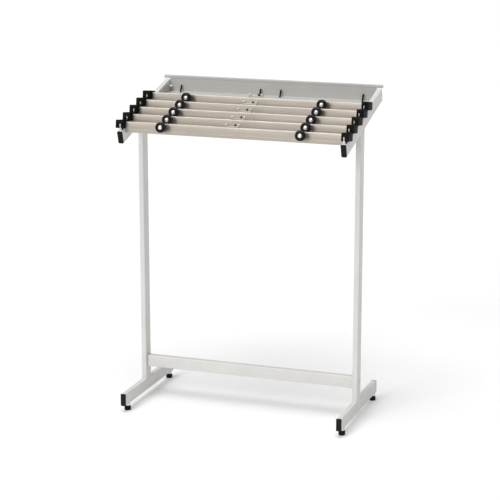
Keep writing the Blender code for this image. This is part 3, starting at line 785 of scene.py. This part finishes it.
def cap(sign):
    """Moulded end cap: a rounded block over the pin, its underside on the arm's slope, with a skirt
    outside the arm and a round-topped slot for the pin. It's set back from the front rail's end,
    and a tongue goes into the rear rail."""
    low, high = sorted((sign * CAP_INNER, sign * CAP_OUTER))
    body = rounded_block((low, CAP_FRONT, CAP_BOTTOM), (high, CAP_BACK, CAP_TOP), 2.4 * MM)
    # Where the cutting tools end past the cap: in front, behind, towards the middle, and below
    ahead, behind, inside, far = -15 * MM, 48 * MM, sign * (CAP_INNER - 10 * MM), 30 * MM
    slot_depth, relief_depth = 5.2 * MM, 13 * MM
    outline = [(y, under_arm(y) + GAP) for y in (ahead, behind)] + [(behind, -far), (ahead, -far)]
    ramp = prism(outline, *sorted((inside, sign * (RACK_SIDE + GAP))))
    low, high = sorted((inside, sign * CAP_FRONT_INNER))
    relief = block((low, ahead, -far), (high, relief_depth, far))
    half = 3.35 * MM
    slot = [(-half, -far), (half, -far)]
    for step in range(13):
        turn = math.pi * step / 12
        slot.append((half * math.cos(turn), GAP + half * 0.5 * (math.sin(turn) - 1)))
    notch = chain([[(sign * ARM_X + x, y, z) for x, z in slot] for y in (ahead, slot_depth)])
    low, high = sorted((sign * (CAP_INNER - 13 * MM), sign * (CAP_INNER + 2 * MM)))
    play = 1.6 * MM
    tongue = block((low, REAR_RAIL[0] + play, -4.5 * MM), (high, REAR_RAIL[1] - play, 2 * MM))
    cuts = [("DIFFERENCE", tool) for tool in (ramp, relief, notch)]
    return combined(body, [*cuts, ("UNION", tongue)])


def build_tag_fitting(number, jaw, matrix):
    """Strip, buttons and stop; they count as part of the front rail and move with it."""
    middle, slot = sum(STRIP) / 2, "rail_aluminium"
    # The strip's darker finish is painted shade; it is the same aluminium as the rail.
    piece("tag_strip_%d" % number, tag_strip(), jaw, slot, matrix, material=STRIP_SHADED_ALUMINIUM)
    for side, sign in SIDES:
        spot = Matrix.Translation((sign * BUTTON_X, middle, 0))
        piece("%s_tag_button_%d" % (side, number), button(), jaw, slot, matrix @ spot,
              material=BUTTON_NICKEL)
    spot = Matrix.Translation((STOP_X, middle, 0))
    piece("tag_stop_%d" % number, stop(), jaw, slot, matrix @ spot,
          material=FINISHES["knob_plastic"])


def build_holder(number):
    """Rear rail with its caps and clamp studs, front rail with its tag fitting, and two knobs."""
    holder, jaw = "holder_%d" % number, "jaw_%d" % number
    matrix = holder_matrix(number)
    piece("rear_rail_extrusion_%d" % number, rail(REAR_RAIL, False), holder, "rail_aluminium",
          matrix, ("rear_rail_%d" % number,))
    bores = []
    for _, sign in SIDES:
        place = Matrix.Translation((sign * KNOB_X, FRONT_RAIL[0], KNOB_HEIGHT)) @ along_y(1)
        bores.append(("DIFFERENCE", moved(turned(in_mm(((3.5, -10), (3.5, 10))), 32), place)))
    front_rail = combined(rail(FRONT_RAIL, True), bores)
    piece("front_rail_extrusion_%d" % number, front_rail, jaw, "rail_aluminium", matrix,
          ("front_rail_%d" % number,))
    build_tag_fitting(number, jaw, matrix)
    for side, sign in SIDES:
        piece("%s_cap_moulding_%d" % (side, number), cap(sign), holder, "cap_plastic", matrix,
              ("%s_cap_%d" % (side, number),))
        body = "%s_knob_%d" % (side, number)
        seat = Matrix.Translation((sign * KNOB_X, KNOB_SEAT, KNOB_HEIGHT)) @ along_y(-1)
        piece(body + "_grip", knob(), body, "knob_plastic", matrix @ seat, (body,))
        piece(body + "_centre", knob_centre(), body, "knob_plastic", matrix @ seat,
              material=DOME_NICKEL)
        root = REAR_RAIL[0] + RAIL_WALL / 2
        stud = threaded(2.45 * MM, STUD_RADIUS, 1 * MM, 0, root - 2 * MM, 24)
        start = Matrix.Translation((sign * KNOB_X, root, KNOB_HEIGHT)) @ along_y(-1)
        piece("%s_clamp_stud_%d" % (side, number), stud, holder, "plated_steel", matrix @ start)


# ---------------------------------------------------------------- room

FLOOR_REACH = 60
FILL_STRENGTH = 0.38
BACKDROP_STRENGTH = 1
CAMERA_PLACE = (1.3929, -3.9549, 1.4297)
CAMERA_PITCH = math.radians(-13.594)
CAMERA_TURN = math.radians(19.426)
CAMERA_LENS = 121.76
CAMERA_SENSOR = 36


def build_floor():
    mesh = bpy.data.meshes.new("floor")
    reach = FLOOR_REACH
    corners = ((-reach, -reach, 0), (reach, -reach, 0), (reach, reach, 0), (-reach, reach, 0))
    mesh.from_pydata(corners, [], [(0, 1, 2, 3)])
    floor = bpy.data.objects.new("floor", mesh)
    bpy.context.scene.collection.objects.link(floor)
    finish = Finish("floor_look", (0.87, 0.87, 0.87), roughness=0.8)
    finish.shader.inputs["Specular IOR Level"].default_value = 0.2
    finish.roughness(finish.noise(3, 3), 0.75, 0.85)
    mesh.materials.append(finish.material)


def soft_sun(name, azimuth, elevation, spread, strength):
    """A distant softbox: even light from a disc in the sky, spread degrees wide."""
    data = bpy.data.lights.new(name, "SUN")
    data.angle = math.radians(spread)
    data.energy = strength
    light = bpy.data.objects.new(name, data)
    bpy.context.scene.collection.objects.link(light)
    light.rotation_euler = (math.radians(90 - elevation), 0, math.radians(azimuth))


def build_lights():
    """A white sky that fills dimly but looks fully white, and two soft suns. Azimuth 0 is straight
    in front of the rack, and positive to its right."""
    world = bpy.data.worlds.new("studio")
    world.use_nodes = True
    nodes, links = world.node_tree.nodes, world.node_tree.links
    fill, backdrop = nodes["Background"], nodes.new("ShaderNodeBackground")
    for background, strength in ((fill, FILL_STRENGTH), (backdrop, BACKDROP_STRENGTH)):
        background.inputs["Color"].default_value = (1, 1, 1, 1)
        background.inputs["Strength"].default_value = strength
    path = nodes.new("ShaderNodeLightPath")
    either = nodes.new("ShaderNodeMixShader")
    links.new(path.outputs["Is Camera Ray"], either.inputs[0])
    links.new(fill.outputs[0], either.inputs[1])
    links.new(backdrop.outputs[0], either.inputs[2])
    links.new(either.outputs[0], nodes["World Output"].inputs["Surface"])
    bpy.context.scene.world = world
    soft_sun("overhead", azimuth=-10, elevation=74, spread=50, strength=2.25)
    soft_sun("front", azimuth=-20, elevation=29, spread=24, strength=1)
    bpy.context.scene.view_settings.view_transform = "Standard"


def build_camera():
    data = bpy.data.cameras.new("camera")
    data.sensor_width = CAMERA_SENSOR
    data.lens = CAMERA_LENS
    camera = bpy.data.objects.new("camera", data)
    bpy.context.scene.collection.objects.link(camera)
    camera.location = CAMERA_PLACE
    camera.rotation_euler = (math.pi / 2 + CAMERA_PITCH, 0, CAMERA_TURN)
    bpy.context.scene.camera = camera


for side, sign in SIDES:
    build_side(side, sign)
build_crossbar()
build_tray()
build_pegs()
for number in HOLDERS:
    build_holder(number)
build_floor()
build_lights()
build_camera()
